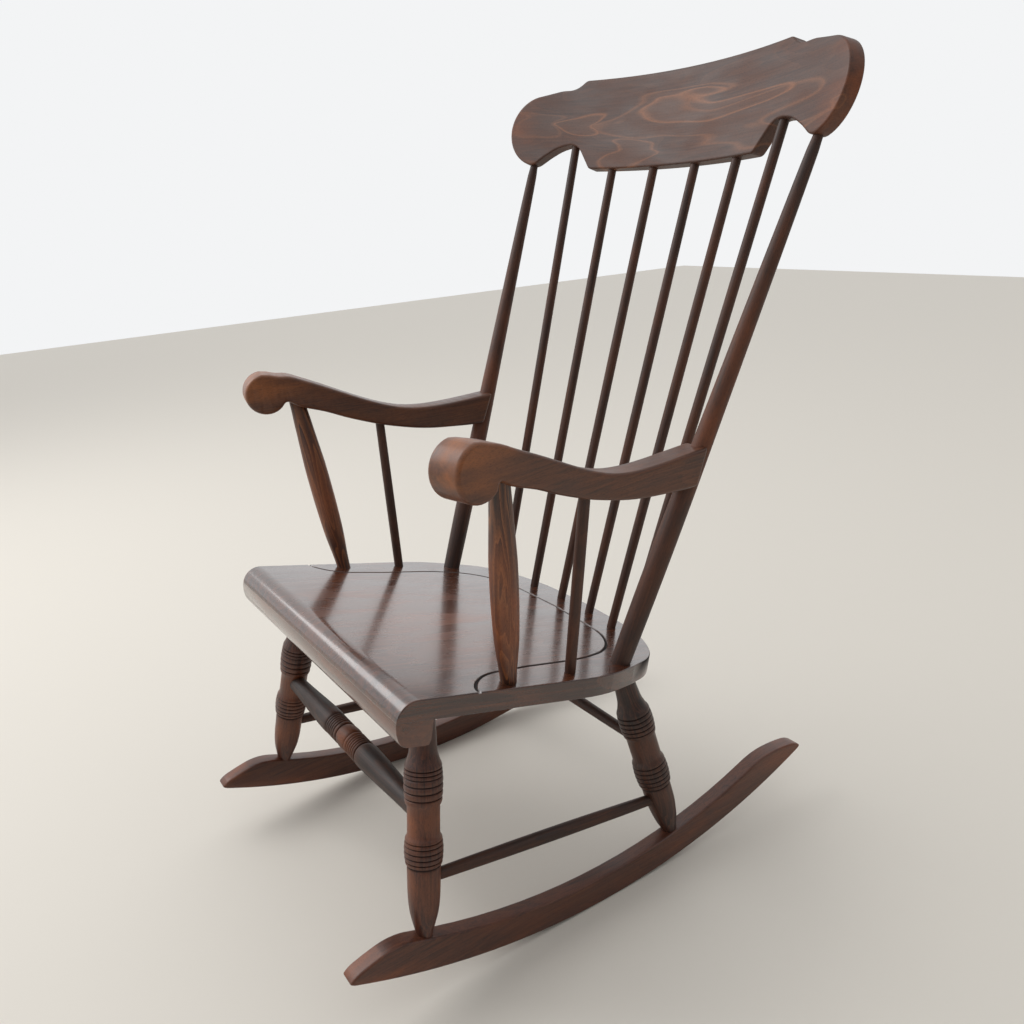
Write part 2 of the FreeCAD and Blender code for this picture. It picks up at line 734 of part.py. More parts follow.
def main():
    os.makedirs("parts", exist_ok=True)
    parts = {}
    sides = {}
    seat = make_seat()
    stile, stile_line, seat_cuts = make_back(parts, seat, make_crest())
    seat_cuts += make_arm_side(sides, seat, stile, stile_line)
    seat_cuts += make_base(parts, sides, seat)
    parts["seat_board"] = with_cuts(seat, both_sides(seat_cuts))
    parts["seat_front_roll"] = make_seat_roll()
    screw = make_screw(stile_line)
    parts["arm_screws"] = Part.makeCompound([screw, swap_side(screw)])
    for name, shape in sides.items():
        parts[name + "_left"] = shape
        parts[name + "_right"] = swap_side(shape)
    for name, shape in parts.items():
        shape.exportStep("parts/%s.step" % name)


main()
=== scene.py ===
import math

import bpy
from mathutils import Matrix, Vector


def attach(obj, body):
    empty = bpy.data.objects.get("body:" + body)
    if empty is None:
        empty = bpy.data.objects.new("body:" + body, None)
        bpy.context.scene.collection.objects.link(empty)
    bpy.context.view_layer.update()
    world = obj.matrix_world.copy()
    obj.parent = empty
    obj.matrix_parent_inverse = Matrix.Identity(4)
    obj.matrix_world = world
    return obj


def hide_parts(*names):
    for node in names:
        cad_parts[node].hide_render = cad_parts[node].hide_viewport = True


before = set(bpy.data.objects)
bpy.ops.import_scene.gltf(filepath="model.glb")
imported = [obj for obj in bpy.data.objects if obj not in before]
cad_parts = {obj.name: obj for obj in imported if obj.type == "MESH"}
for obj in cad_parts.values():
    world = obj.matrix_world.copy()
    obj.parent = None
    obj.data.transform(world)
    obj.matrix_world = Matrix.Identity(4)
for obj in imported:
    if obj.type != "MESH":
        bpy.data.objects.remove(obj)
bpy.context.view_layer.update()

# Turned and sawn beech rocking chair, stained dark walnut and lacquered.
# Sizes are written in millimetres and turned into metres as each piece is drawn.
mm = 0.001
thinTurning = 32                        # facets round a thin bar
timberShift = (0.371, 0.617, 0.833)     # from one piece's timber to the next one's
mirrorShift = (0.43, 0.29, 0.71)        # from a piece's timber to its twin's


def clearSelection():
    if bpy.context.mode != "OBJECT":
        bpy.ops.object.mode_set(mode="OBJECT")
    bpy.ops.object.select_all(action="DESELECT")


def takeUp(piece):
    clearSelection()
    piece.select_set(True)
    bpy.context.view_layer.objects.active = piece


def drawLine(name, points):
    # one vertex, pulled from point to point like a pencil
    clearSelection()
    bpy.ops.mesh.primitive_plane_add(size=0.001)
    piece = bpy.context.object
    piece.name = name
    bpy.ops.object.mode_set(mode="EDIT")
    bpy.ops.mesh.select_mode(type="VERT")
    bpy.ops.mesh.select_all(action="SELECT")
    bpy.ops.mesh.merge(type="CENTER")
    places = [Vector(point) * mm for point in points]
    bpy.ops.transform.translate(value=places[0])
    for here, there in zip(places, places[1:]):
        bpy.ops.mesh.extrude_region_move(TRANSFORM_OT_translate={"value": there - here})
    return piece


def applyModifier(piece, kind, **settings):
    takeUp(piece)
    tool = piece.modifiers.new(kind.title(), kind)
    for name, value in settings.items():
        setattr(tool, name, value)
    bpy.ops.object.modifier_apply(modifier=tool.name)


def keepGrainPlace(piece, along, number):
    # the place of each point in the uncut timber, with the grain along z, for the wood to follow
    order = {"x": (1, 2, 0), "y": (2, 0, 1), "z": (0, 1, 2)}[along]
    shift = [number * part % 1.0 for part in timberShift]
    kept = piece.data.attributes.new("grainPlace", "FLOAT_VECTOR", "POINT")
    for vertex, store in zip(piece.data.vertices, kept.data):
        store.vector = [vertex.co[axis] + moved for axis, moved in zip(order, shift)]


def keepWear(piece, rubbed):
    # how far the stain is rubbed through, from 0 to 1
    kept = piece.data.attributes.new("wear", "FLOAT", "POINT")
    for vertex, store in zip(piece.data.vertices, kept.data):
        store.value = max(0.0, min(1.0, rubbed(vertex.co / mm)))


def keepPaintedShade(piece, hollow):
    # painted shade, with dark stain, in the bottoms of turned and carved lines, from 0 to 1
    kept = piece.data.attributes.new("shade", "FLOAT", "POINT")
    for vertex, store in zip(piece.data.vertices, kept.data):
        store.value = 1.0 if hollow(vertex.co / mm) else 0.0


def wornAround(strength, centre, fade):
    # wear that fades away from the most rubbed place along a turned piece
    return lambda place: strength - abs(place.z - centre) / fade


def paintGrooveShade(piece, valleys):
    # painted shade, with dark stain, in the bottoms of turned grooves, which may lie on both sides of the middle
    keepPaintedShade(piece, lambda place: min(abs(abs(place.z) - valley) for valley in valleys) < 0.05)


def settle(piece, matrix, finish, angle=40):
    # puts the finished piece in its place and leaves its object at the origin
    piece.data.transform(matrix)
    takeUp(piece)
    bpy.ops.object.shade_smooth_by_angle(angle=math.radians(angle))
    piece.data.materials.clear()
    piece.data.materials.append(finish)
    return piece


def settleBoard(piece, matrix, finish):
    # as settle, with the broad faces flat to the eye
    settle(piece, matrix, finish, 30)
    applyModifier(piece, "WEIGHTED_NORMAL", keep_sharp=True)


def joinFrame(piece, *names):
    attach(piece, "root")
    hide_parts(*names)


def copyOf(piece, name):
    twin = piece.copy()
    twin.data = piece.data.copy()
    twin.name = name
    bpy.context.scene.collection.objects.link(twin)
    return twin


def otherSide(piece, name):
    # the same piece on the chair's other side, as a mirror shows it
    twin = copyOf(piece, name)
    takeUp(twin)
    bpy.ops.object.mode_set(mode="EDIT")
    bpy.ops.mesh.select_all(action="SELECT")
    bpy.ops.transform.resize(value=(-1, 1, 1), center_override=(0, 0, 0))
    bpy.ops.mesh.normals_make_consistent(inside=False)
    bpy.ops.object.mode_set(mode="OBJECT")
    for store in twin.data.attributes["grainPlace"].data:
        store.vector = Vector(store.vector) + Vector(mirrorShift)
    return twin


def shiftBy(x, y, z):
    return Matrix.Translation(Vector((x, y, z)) * mm)


def turnBy(degrees, axis):
    return Matrix.Rotation(math.radians(degrees), 4, axis)


def alongLine(start, end):
    # turns a piece drawn up the z axis so that it runs from start to end
    start, end = Vector(start) * mm, Vector(end) * mm
    return Matrix.Translation(start) @ (end - start).to_track_quat("Z", "Y").to_matrix().to_4x4()


def smoothThrough(points, steps=5):
    # eased curve through measured points of (distance, radius)
    slopes = []
    for i in range(len(points)):
        low, high = points[max(0, i - 1)], points[min(len(points) - 1, i + 1)]
        slopes.append((high[1] - low[1]) / (high[0] - low[0]))
    run = [points[0]]
    for (a, b), (slopeA, slopeB) in zip(zip(points, points[1:]), zip(slopes, slopes[1:])):
        width = b[0] - a[0]
        for k in range(1, steps + 1):
            t = k / steps
            height = (2 * t ** 3 - 3 * t ** 2 + 1) * a[1] + (t ** 3 - 2 * t ** 2 + t) * width * slopeA
            height += (3 * t ** 2 - 2 * t ** 3) * b[1] + (t ** 3 - t ** 2) * width * slopeB
            run.append((a[0] + width * t, height))
    return run


def arcsThrough(corners, heading, step=6.0):
    # arcs from corner to corner, each one running on smoothly from the one before
    points = [corners[0]]
    for (x0, y0), (x1, y1) in zip(corners, corners[1:]):
        chord = math.atan2(y1 - y0, x1 - x0)
        turn = math.remainder(heading - chord, 2 * math.pi)
        length = math.hypot(x1 - x0, y1 - y0)
        parts = max(1, round(abs(2 * turn) / math.radians(step)))
        for k in range(1, parts):
            swing = -2 * turn * k / parts
            reach = length * math.sin(abs(swing) / 2) / math.sin(abs(turn))
            toward = heading + swing / 2
            points.append((x0 + reach * math.cos(toward), y0 + reach * math.sin(toward)))
        points.append((x1, y1))
        heading = chord - turn
    return points


def turnOnLathe(name, profile, steps=44):
    # half outline spun once round the z axis
    edge = [(radius, 0, place) for place, radius in profile]
    points = [(0, 0, profile[0][0])] + edge + [(0, 0, profile[-1][0])]
    piece = drawLine(name, points)
    bpy.ops.mesh.select_all(action="SELECT")
    bpy.ops.mesh.spin(steps=steps, angle=2 * math.pi, center=(0, 0, 0), axis=(0, 0, 1))
    bpy.ops.mesh.select_all(action="SELECT")
    bpy.ops.mesh.remove_doubles(threshold=0.00001)
    bpy.ops.mesh.normals_make_consistent(inside=False)
    bpy.ops.object.mode_set(mode="OBJECT")
    return piece


def insetFaces(piece, wanted, margin):
    # a narrow margin along the rounded arrises keeps the broad faces flat to the eye
    takeUp(piece)
    for face in piece.data.polygons:
        face.select = wanted(face)
    bpy.ops.object.mode_set(mode="EDIT")
    bpy.ops.mesh.select_mode(type="FACE")
    bpy.ops.mesh.inset(thickness=margin * mm)
    bpy.ops.object.mode_set(mode="OBJECT")


def cutAcross(piece, places, normal):
    # extra edges across the piece, for a bend or a change of tone to follow
    takeUp(piece)
    bpy.ops.object.mode_set(mode="EDIT")
    for place in places:
        bpy.ops.mesh.select_all(action="SELECT")
        bpy.ops.mesh.bisect(plane_co=Vector(normal) * place * mm, plane_no=normal)
    bpy.ops.object.mode_set(mode="OBJECT")


def bendBoard(piece, radius):
    # a straight board, bent to an arc round a line along z
    places = [vertex.co.x for vertex in piece.data.vertices]
    applyModifier(piece, "SIMPLE_DEFORM", deform_method="BEND", deform_axis="Z",
                  angle=-(max(places) - min(places)) / (radius * mm))


def liesFlat(face, axis):
    return abs(face.normal[axis]) > 0.9999


def thickenLine(name, outline, thick):
    # outline in the plane of x and z, made into a board along y and left in edit mode
    piece = drawLine(name, [(x, 0, z) for x, z in outline])
    bpy.ops.mesh.select_all(action="SELECT")
    bpy.ops.mesh.edge_face_add()
    bpy.ops.mesh.extrude_region_move(TRANSFORM_OT_translate={"value": (0, thick * mm, 0)})
    bpy.ops.mesh.select_all(action="SELECT")
    bpy.ops.mesh.normals_make_consistent(inside=False)
    return piece


def sawBoard(name, outline, thick, roundEdge, strips=(), segments=4, margin=0.0):
    # a board with its arrises rounded, and extra edges where it bends
    piece = thickenLine(name, outline, thick)
    bpy.ops.object.mode_set(mode="OBJECT")
    applyModifier(piece, "BEVEL", width=roundEdge * mm, segments=segments, limit_method="ANGLE",
                  angle_limit=math.radians(35), miter_outer="MITER_ARC")
    if margin:
        insetFaces(piece, lambda face: liesFlat(face, 1), margin)
    cutAcross(piece, strips, (1, 0, 0))
    return piece


def linear(text):
    # sRGB hex to the linear colour that the shader reads
    parts = [int(text[i:i + 2], 16) / 255 for i in (1, 3, 5)]
    return [c / 12.92 if c <= 0.04045 else ((c + 0.055) / 1.055) ** 2.4 for c in parts] + [1.0]


def addNode(tree, kind, values=None, links=None, **settings):
    node = tree.nodes.new(kind)
    for name, value in settings.items():
        setattr(node, name, value)
    for socket, value in (values or {}).items():
        node.inputs[socket].default_value = value
    for socket, source in (links or {}).items():
        tree.links.new(source, node.inputs[socket])
    return node


def setRamp(node, stops):
    ramp = node.color_ramp
    while len(ramp.elements) < len(stops):
        ramp.elements.new(0.5)
    for element, (place, colour) in zip(ramp.elements, stops):
        element.position = place
        element.color = colour
    return node


def grey(value):
    return (value, value, value, 1.0)


def spread(tree, source, given, wanted):
    # stretches one range of values to another
    values = {"From Min": given[0], "From Max": given[1], "To Min": wanted[0], "To Max": wanted[1]}
    return addNode(tree, "ShaderNodeMapRange", values, {"Value": source}).outputs[0]


def emptyMaterial(name):
    made = bpy.data.materials.new(name)
    made.use_nodes = True
    made.node_tree.nodes.clear()
    return made


# the stained wood; its sizes are across and along the grain
plainLook = {
    "dark": "#20110b", "middle": "#3c2016", "light": "#532d1c",
    # the pore colour also paints the shade in the grooves and the carved line
    "glow": "#82492a", "worn": "#8c4b25", "poreAndShade": "#150a07",
    "streak": (2.6, 90.0),       # fine darker and lighter streaks
    "contour": (30.0, 230.0), "rings": 9.0, "figure": 0.25,     # growth rings, and how clear they are
    "fleck": (0.45, 4.5), "flecks": 0.5,     # ray flecks, drawn a little coarse so that they show
    "patch": (30.0, 90.0),       # uneven stain and handling
    "gloss": 0.38, "glossLoss": 0.14, "lacquer": 0.1, "relief": 0.12,
    "waviness": 3.4, "lineDullness": 0.6,
}


# Beech is close and even grained. Dark stain settles in its pores and short flecks,
# and thins out over the rounded and handled places, where the wood glows orange.
def stainedBeech(name, singles=(), **changes):
    look = dict(plainLook, **changes)
    made = emptyMaterial(name)
    tree = made.node_tree
    place = addNode(tree, "ShaderNodeAttribute", attribute_name="grainPlace").outputs["Vector"]
    rubbed = addNode(tree, "ShaderNodeAttribute", attribute_name="wear").outputs["Fac"]
    paintedLineShade = addNode(tree, "ShaderNodeAttribute", attribute_name="shade").outputs["Fac"]

    def noise(size, detail, roughness, distortion=0.0):
        across, along = (1000 / part for part in look[size])
        fitted = addNode(tree, "ShaderNodeMapping", {"Scale": (across, across, along)}, {"Vector": place})
        values = {"Scale": 1.0, "Detail": detail, "Roughness": roughness, "Distortion": distortion}
        return addNode(tree, "ShaderNodeTexNoise", values, {"Vector": fitted.outputs[0]})

    def reckon(operation, values, links, **settings):
        return addNode(tree, "ShaderNodeMath", values, links, operation=operation, **settings).outputs[0]

    def reckonPlace(operation, values, links):
        return addNode(tree, "ShaderNodeVectorMath", values, links, operation=operation)

    def ramp(source, stops):
        return setRamp(addNode(tree, "ShaderNodeValToRGB", None, {"Fac": source}), stops).outputs["Color"]

    def covered(colour, share, over):
        return addNode(tree, "ShaderNodeMix", {7: linear(look[over])}, {0: share, 6: colour},
                       data_type="RGBA").outputs[2]

    streak = noise("streak", 5.0, 0.6, 0.2).outputs["Fac"]
    figure = noise("contour", 1.4, 0.35, 0.5)
    fleck = noise("fleck", 2.0, 0.5).outputs["Fac"]
    patch = noise("patch", 3.0, 0.55).outputs["Fac"]

    # growth rings: contour lines of the slow noise, sharp on one side and soft on the other
    saw = reckon("FRACT", None, {0: reckon("MULTIPLY", {1: look["rings"]}, {0: figure.outputs["Fac"]})})
    line = ramp(saw, [(0.0, grey(0.0)), (0.45, grey(0.1)), (0.8, grey(0.75)), (0.93, grey(1.0)), (1.0, grey(0.0))])
    base = ramp(streak, [(0.28, linear(look["dark"])), (0.5, linear(look["middle"])), (0.72, linear(look["light"]))])
    lineShare = reckon("MULTIPLY", {1: look["figure"]}, {0: line})

    # single rings that stand out: a light line round each centre, and a faint glow inside it
    for (x, z), (long, high), strength in singles:
        offset = addNode(tree, "ShaderNodeMapping", {"Location": (0, -z * mm, -x * mm)}, {"Vector": place})
        fitted = addNode(tree, "ShaderNodeMapping", {"Scale": (0, 1000 / high, 1000 / long)},
                         {"Vector": offset.outputs[0]})
        wobble = reckonPlace("SUBTRACT", {1: (0.5, 0.5, 0.5)}, {0: figure.outputs["Color"]})
        wavy = reckonPlace("MULTIPLY_ADD", {1: (0.0, look["waviness"], look["waviness"])},
                           {0: wobble.outputs[0], 2: fitted.outputs[0]})
        reach = reckonPlace("LENGTH", None, {0: wavy.outputs[0]}).outputs["Value"]
        ring = ramp(reach, [(0.0, grey(0.12)), (0.72, grey(0.2)), (0.86, grey(1.0)), (0.93, grey(0.3)),
                            (1.0, grey(0.0))])
        lineShare = reckon("MAXIMUM", None, {0: lineShare, 1: reckon("MULTIPLY", {1: strength}, {0: ring})})

    # stain rubbed thin, in patches
    patchy = spread(tree, patch, (0.38, 0.66), (0.25, 1.0))
    bare = reckon("MULTIPLY", None, {0: rubbed, 1: patchy}, use_clamp=True)
    worn = covered(covered(base, lineShare, "glow"), bare, "worn")

    # dark flecks in the pores, and painted shade with dark stain in the lines
    specks = ramp(fleck, [(0.52, grey(0.0)), (0.66, grey(look["flecks"]))])
    specked = covered(worn, reckon("MAXIMUM", None, {0: paintedLineShade, 1: specks}), "poreAndShade")

    # a sheen that differs from patch to patch, and none in the lines
    sheen = spread(tree, patch, (0.3, 0.7), (look["gloss"], look["gloss"] + look["glossLoss"]))
    dulled = reckon("MULTIPLY_ADD", {1: look["lineDullness"]}, {0: paintedLineShade, 2: sheen})
    coated = reckon("MULTIPLY_ADD", {1: -look["lacquer"], 2: look["lacquer"]}, {0: paintedLineShade})
    height = reckon("MULTIPLY_ADD", {1: 0.5}, {0: streak, 2: fleck})
    relief = addNode(tree, "ShaderNodeBump", {"Strength": look["relief"], "Distance": 0.0004}, {"Height": height})
    shader = addNode(tree, "ShaderNodeBsdfPrincipled", {"IOR": 1.5, "Coat Roughness": 0.14},
                     {"Base Color": specked, "Roughness": dulled, "Normal": relief.outputs[0],
                      "Coat Weight": coated})
    addNode(tree, "ShaderNodeOutputMaterial", None, {"Surface": shader.outputs[0]})
    return made


# centre, reach and strength of each bold ring on the crest rail
crestRings = [
    ((-186, 62), (62, 22), 0.75), ((70, 76), (118, 17), 0.8), ((90, 58), (190, 40), 0.5),
    ((-95, 14), (46, 26), 0.6), ((-290, 52), (50, 34), 0.35),
]
# crest rail: a broad dull face with a few bold rings
crestBeech = stainedBeech("crestBeech", crestRings, dark="#281711", middle="#3e261d", light="#4c3025",
                          glow="#8f5a38", figure=0.1, contour=(40.0, 200.0), gloss=0.46, lacquer=0.0)
# seat: thick smooth lacquer, in which the bright side of the room shows
seatBeech = stainedBeech("seatBeech", middle="#3e2015", light="#5e3018", worn="#8a4a26", gloss=0.2, lacquer=0.9,
                         contour=(45.0, 260.0), streak=(5.0, 120.0), relief=0.012)
# arms: redder, and rubbed to a light brown at the scrolls
armBeech = stainedBeech("armBeech", middle="#452618", light="#5e341e", worn="#96582c", figure=0.2)
# front legs: reddish, with orange where the swellings are rubbed
legBeech = stainedBeech("legBeech", middle="#452318", light="#5c311e", worn="#86471f", contour=(16.0, 160.0))
# rear legs: the same wood with darker stain, and painted darker still as painted shade under the chair
shadedRearLegBeech = stainedBeech("shadedRearLegBeech", dark="#180d09", middle="#2c1810", light="#44261a", worn="#5e341f",
                            contour=(16.0, 160.0))
# arm posts: wide light rings where the turning cuts through them
postBeech = stainedBeech("postBeech", worn="#8c4a22", glow="#a8683a", figure=0.55, rings=7.0,
                         contour=(15.0, 170.0))
# back posts, spindles and stretchers: nearly black, and dull
barBeech = stainedBeech("barBeech", dark="#150c09", middle="#28170f", light="#3e2417", figure=0.1,
                        gloss=0.5, lacquer=0.0)
# rockers: even and slightly red
rockerBeech = stainedBeech("rockerBeech", middle="#43241a", light="#55301f", figure=0.15)
print("wood ready")


# wear is given as strength, centre and fade, or as one value for the whole piece
stile = {
    "foot": (216.5, 35.5, 325.0), "head": (286.0, 294.7, 942.3), "wear": (0.55, 330, 700),
    "profile": [(-12, 12.6), (0, 12.8), (60, 13.5), (136, 13.75), (230, 13.3), (322, 12.1), (440, 10.5),
                (560, 8.8), (654, 7.1), (673, 5.9), (690, 5.8)],
}


def makeStiles():
    piece = turnOnLathe("stileLeft", smoothThrough(stile["profile"]))
    keepGrainPlace(piece, "z", 1)
    keepWear(piece, wornAround(*stile["wear"]))
    settle(piece, alongLine(stile["foot"], stile["head"]), barBeech)
    other = otherSide(piece, "stileRight")
    joinFrame(piece, "stile_left")
    joinFrame(other, "stile_right")


spindles = {
    "feet": [(34.8, 126.0, 302.4), (96.9, 118.0, 304.4), (154.0, 99.0, 309.1)],
    "heads": [(42.7, 337.1, 923.9), (127.8, 329.3, 926.3), (209.9, 324.7, 965.8)],
    "endRadius": 6.2, "middleRadius": 6.9, "fuller": 0.2, "sunk": 12, "wear": 0.25,
}


def makeSpindles():
    end, middle, sunk = spindles["endRadius"], spindles["middleRadius"], spindles["sunk"]
    quarter = (end + middle) / 2 + spindles["fuller"]
    for number, (foot, head) in enumerate(zip(spindles["feet"], spindles["heads"])):
        length = (Vector(head) - Vector(foot)).length
        profile = smoothThrough([(-sunk, end), (length * 0.25, quarter), (length / 2, middle),
                                 (length * 0.75, quarter), (length + sunk, end)], 6)
        piece = turnOnLathe("spindleLeft%d" % (number + 1), profile, thinTurning)
        keepGrainPlace(piece, "z", 3 + number)
        keepWear(piece, lambda place: spindles["wear"])
        settle(piece, alongLine(foot, head), barBeech)
        other = otherSide(piece, "spindleRight%d" % (number + 1))
        joinFrame(piece, "back_spindle_%d" % (3 - number))
        joinFrame(other, "back_spindle_%d" % (4 + number))


crest = {
    "base": (0, 328.5, 926.5), "lean": 16.7, "bend": 885.0, "thick": 20.0, "arris": 2.6, "margin": 1.2,
    "half": [(0, 0), (163, 0), (171, 4), (190, 27), (213.8, 36.4), (245, 27.2), (272, 9.7), (290, 6.1),
             (331, 58.9), (290, 111.6), (250, 119.2), (235, 120), (206, 130.1), (197, 133.5)],
    "strip": 10.0, "wear": 0.15, "earWear": 0.5, "earFrom": 280, "earFade": 60,
}


def crestWear(place):
    # the ears are handled most
    return crest["wear"] + crest["earWear"] * max(0, abs(place.x) - crest["earFrom"]) / crest["earFade"]


def makeCrest():
    half = arcsThrough(crest["half"], heading=0.0, step=5.0)
    bent = crest["bend"]
    left = [(bent * math.asin(x / bent), z) for x, z in half]      # laid out flat before the bend
    outline = left + [(-x, z) for x, z in reversed(left[1:])]
    reach = max(x for x, z in left)
    count = int(reach / crest["strip"])
    piece = sawBoard("crestRail", outline, crest["thick"], crest["arris"],
                     [crest["strip"] * k for k in range(-count, count + 1)], margin=crest["margin"])
    keepGrainPlace(piece, "x", 0)
    keepWear(piece, crestWear)
    bendBoard(piece, bent)
    settleBoard(piece, shiftBy(*crest["base"]) @ turnBy(-crest["lean"], "X"), crestBeech)
    joinFrame(piece, "crest_rail")


makeStiles()
makeSpindles()
makeCrest()
print("back made")


seat = {
    "row": 35.5, "height": 325.0, "tilt": 14.04, "half": 252.0, "thick": 25.5, "front": 336.7, "rear": 118.5,
    "straightTo": -83.0, "frontRound": 24.0, "frontFacets": 10, "arris": 4.5, "margin": 2.0,
    # rear corner, in shares of the half width and of the depth behind the straight side
    "corner": [(1.0, 0.0), (0.966, 0.303), (0.877, 0.6), (0.762, 0.779), (0.595, 0.898), (0.317, 0.98), (0.0, 1.0)],
    "broadFace": 0.01,       # square metres
    "cutsAcross": range(-240, 241, 24), "cutsAlong": range(-300, 110, 24),
    # carved line, and the part of the board in which it runs and its painted shade is kept
    "line": [(0, 56.2), (100, 50.2), (150, 31.2), (183, -11.8), (196, -84.8), (204, -185), (238, -233), (262, -233)],
    "lineWidth": 3.8, "lineDepth": 2.2, "lineFlare": 1.25,
    "lineUnder": 0.4, "lineOver": 0.2, "lineZone": (-260, 75), "lineRim": 6, "lineSide": (225, -200),
    "wear": 0.8, "wearMiddle": -170, "wearReach": (260, 230),
}
roll = {
    "outline": [(-336.3, -20.0), (-336.7, -28.1), (-334.9, -37.5), (-331.4, -46), (-327.5, -51.5), (-321, -54.4),
                (-297.5, -55.2), (-292.6, -54.2), (-290.9, -48.5), (-291.2, -20.0)],
    "less": 0.3, "arris": 0.6, "wear": 0.3,
}
seatPlace = shiftBy(0, seat["row"], seat["height"]) @ turnBy(-seat["tilt"], "X")


def pickEdges(piece, wanted):
    # chooses edges by the places of their ends
    bpy.ops.mesh.select_all(action="DESELECT")
    bpy.ops.object.mode_set(mode="OBJECT")
    points = piece.data.vertices
    for edge in piece.data.edges:
        edge.select = wanted(points[edge.vertices[0]].co, points[edge.vertices[1]].co)
    bpy.ops.object.mode_set(mode="EDIT")


def carveLine(piece):
    # a tube with a flattened section, taken out of the seat's top
    line = arcsThrough(seat["line"], heading=0.0, step=5.0)
    line = [(-x, y) for x, y in reversed(line[1:])] + line
    width = seat["lineWidth"] / 2 * seat["lineFlare"]
    cutter = drawLine("lineCutter", [(x, y, 0) for x, y in line])
    bpy.ops.object.mode_set(mode="OBJECT")
    bpy.ops.object.convert(target="CURVE")
    cutter = bpy.context.object
    cutter.data.bevel_depth = width * mm
    cutter.data.bevel_resolution = 1
    cutter.data.use_fill_caps = True
    bpy.ops.object.convert(target="MESH")
    cutter = bpy.context.object
    cutter.data.transform(Matrix.Diagonal((1, 1, seat["lineDepth"] / width, 1)))
    applyModifier(piece, "BOOLEAN", object=cutter, operation="DIFFERENCE", solver="EXACT")
    bpy.data.objects.remove(cutter)


def inShadedLine(place):
    # the bottom of the carved line, where shade is painted: below the broad face, and clear of the rounded front,
    # sides and rear
    x, (front, rear), (sideX, sideY) = abs(place.x), seat["lineZone"], seat["lineSide"]
    sunk = -seat["lineDepth"] - seat["lineOver"] < place.z < -seat["lineUnder"]
    inside = front < place.y < rear and x < seat["half"] - seat["lineRim"]
    return sunk and inside and not (x > sideX and place.y > sideY)


def seatWear(place):
    # the middle of the seat is rubbed most
    reachX, reachY = seat["wearReach"]
    return seat["wear"] * (1 - math.hypot(place.x / reachX, (place.y - seat["wearMiddle"]) / reachY))


def makeSeat():
    depth = seat["rear"] - seat["straightTo"]
    corner = [(seat["half"] * x, seat["straightTo"] + depth * y) for x, y in seat["corner"]]
    left = [(seat["half"], -seat["front"])] + arcsThrough(corner, heading=math.pi / 2, step=4.0)
    outline = left + [(-x, y) for x, y in reversed(left[:-1])]
    piece = thickenLine("seatBoard", outline, seat["thick"])

    # the front is rounded over first, then the arrises all round the top
    bpy.ops.mesh.select_mode(type="EDGE")
    pickEdges(piece, lambda a, b: max(a.y, b.y) < 1e-5 and max(a.z, b.z) < (1 - seat["front"]) * mm)
    bpy.ops.mesh.bevel(offset=seat["frontRound"] * mm, segments=seat["frontFacets"], affect="EDGES")
    bpy.ops.object.mode_set(mode="OBJECT")
    applyModifier(piece, "BEVEL", width=seat["arris"] * mm, segments=4, limit_method="ANGLE",
                  angle_limit=math.radians(50))
    piece.data.transform(turnBy(-90, "X"))
    insetFaces(piece, lambda face: liesFlat(face, 2) and face.area > seat["broadFace"], seat["margin"])
    cutAcross(piece, seat["cutsAcross"], (1, 0, 0))
    cutAcross(piece, seat["cutsAlong"], (0, 1, 0))
    carveLine(piece)

    keepGrainPlace(piece, "y", 11)
    keepWear(piece, seatWear)
    # painted shade, with dark stain, in the bottom of the carved line
    keepPaintedShade(piece, inShadedLine)
    settleBoard(piece, seatPlace, seatBeech)
    joinFrame(piece, "seat_board")


def makeSeatRoll():
    half = seat["half"] - roll["less"]
    piece = sawBoard("seatRoll", roll["outline"], 2 * half, roll["arris"])
    keepGrainPlace(piece, "y", 12)
    keepWear(piece, lambda place: roll["wear"])
    settle(piece, seatPlace @ shiftBy(half, 0, 0) @ turnBy(90, "Z"), seatBeech, 45)
    joinFrame(piece, "seat_front_roll")


makeSeat()
makeSeatRoll()
print("seat made")


arm = {
    "middle": (260.1, -46.7), "swing": 97.39, "bow": 2241.0, "wide": 38.0, "arris": 4.5, "strip": 12.0,
    "widen": 0.2, "widenFrom": 20.0, "widenOver": 170.0,
    # the near scroll is larger, stands further back and lifts the top behind it
    "scrollCentre": (-210.5, 649.5), "scrollRadii": (32.0, 29.5), "scrollDegrees": range(-48, -271, -9),
    "scrollBack": 3.0, "lift": (1.0, 0.9, -0.2, -0.6, -0.3),
    "top": [(-202.5, 677.4), (-189.5, 673.6), (-174.5, 671.5), (-154.5, 663), (-124.5, 649), (-94.5, 634.2),
            (-64.5, 620), (-34.5, 607.5), (-4.5, 598.6), (25.5, 594.6), (55.5, 593.6), (90.5, 594.5),
            (145.3, 597)],
    "under": [(126.0, 551.2), (105.5, 551.5), (70.5, 554.5), (40.5, 557.6), (10.5, 562.6), (-19.5, 570),
              (-44.5, 577.2), (-69.5, 586.1), (-99.5, 598), (-129.5, 611.6), (-164.5, 624.5), (-183.5, 636)],
    "wear": 0.2, "scrollWear": 0.8, "wearFrom": -90, "wearFade": 60, "wearOver": 640, "lowShare": 0.4,
}


def smoothUnder(points):
    # the underside runs from the back to the front, so it is eased the other way round
    return list(reversed(smoothThrough(list(reversed(points)), 3)))


def armWear(place):
    # hands rub the scroll, and its top most
    front = max(0.0, min(1.0, (arm["wearFrom"] - place.x) / arm["wearFade"]))
    return arm["wear"] + arm["scrollWear"] * front * (1.0 if place.z > arm["wearOver"] else arm["lowShare"])


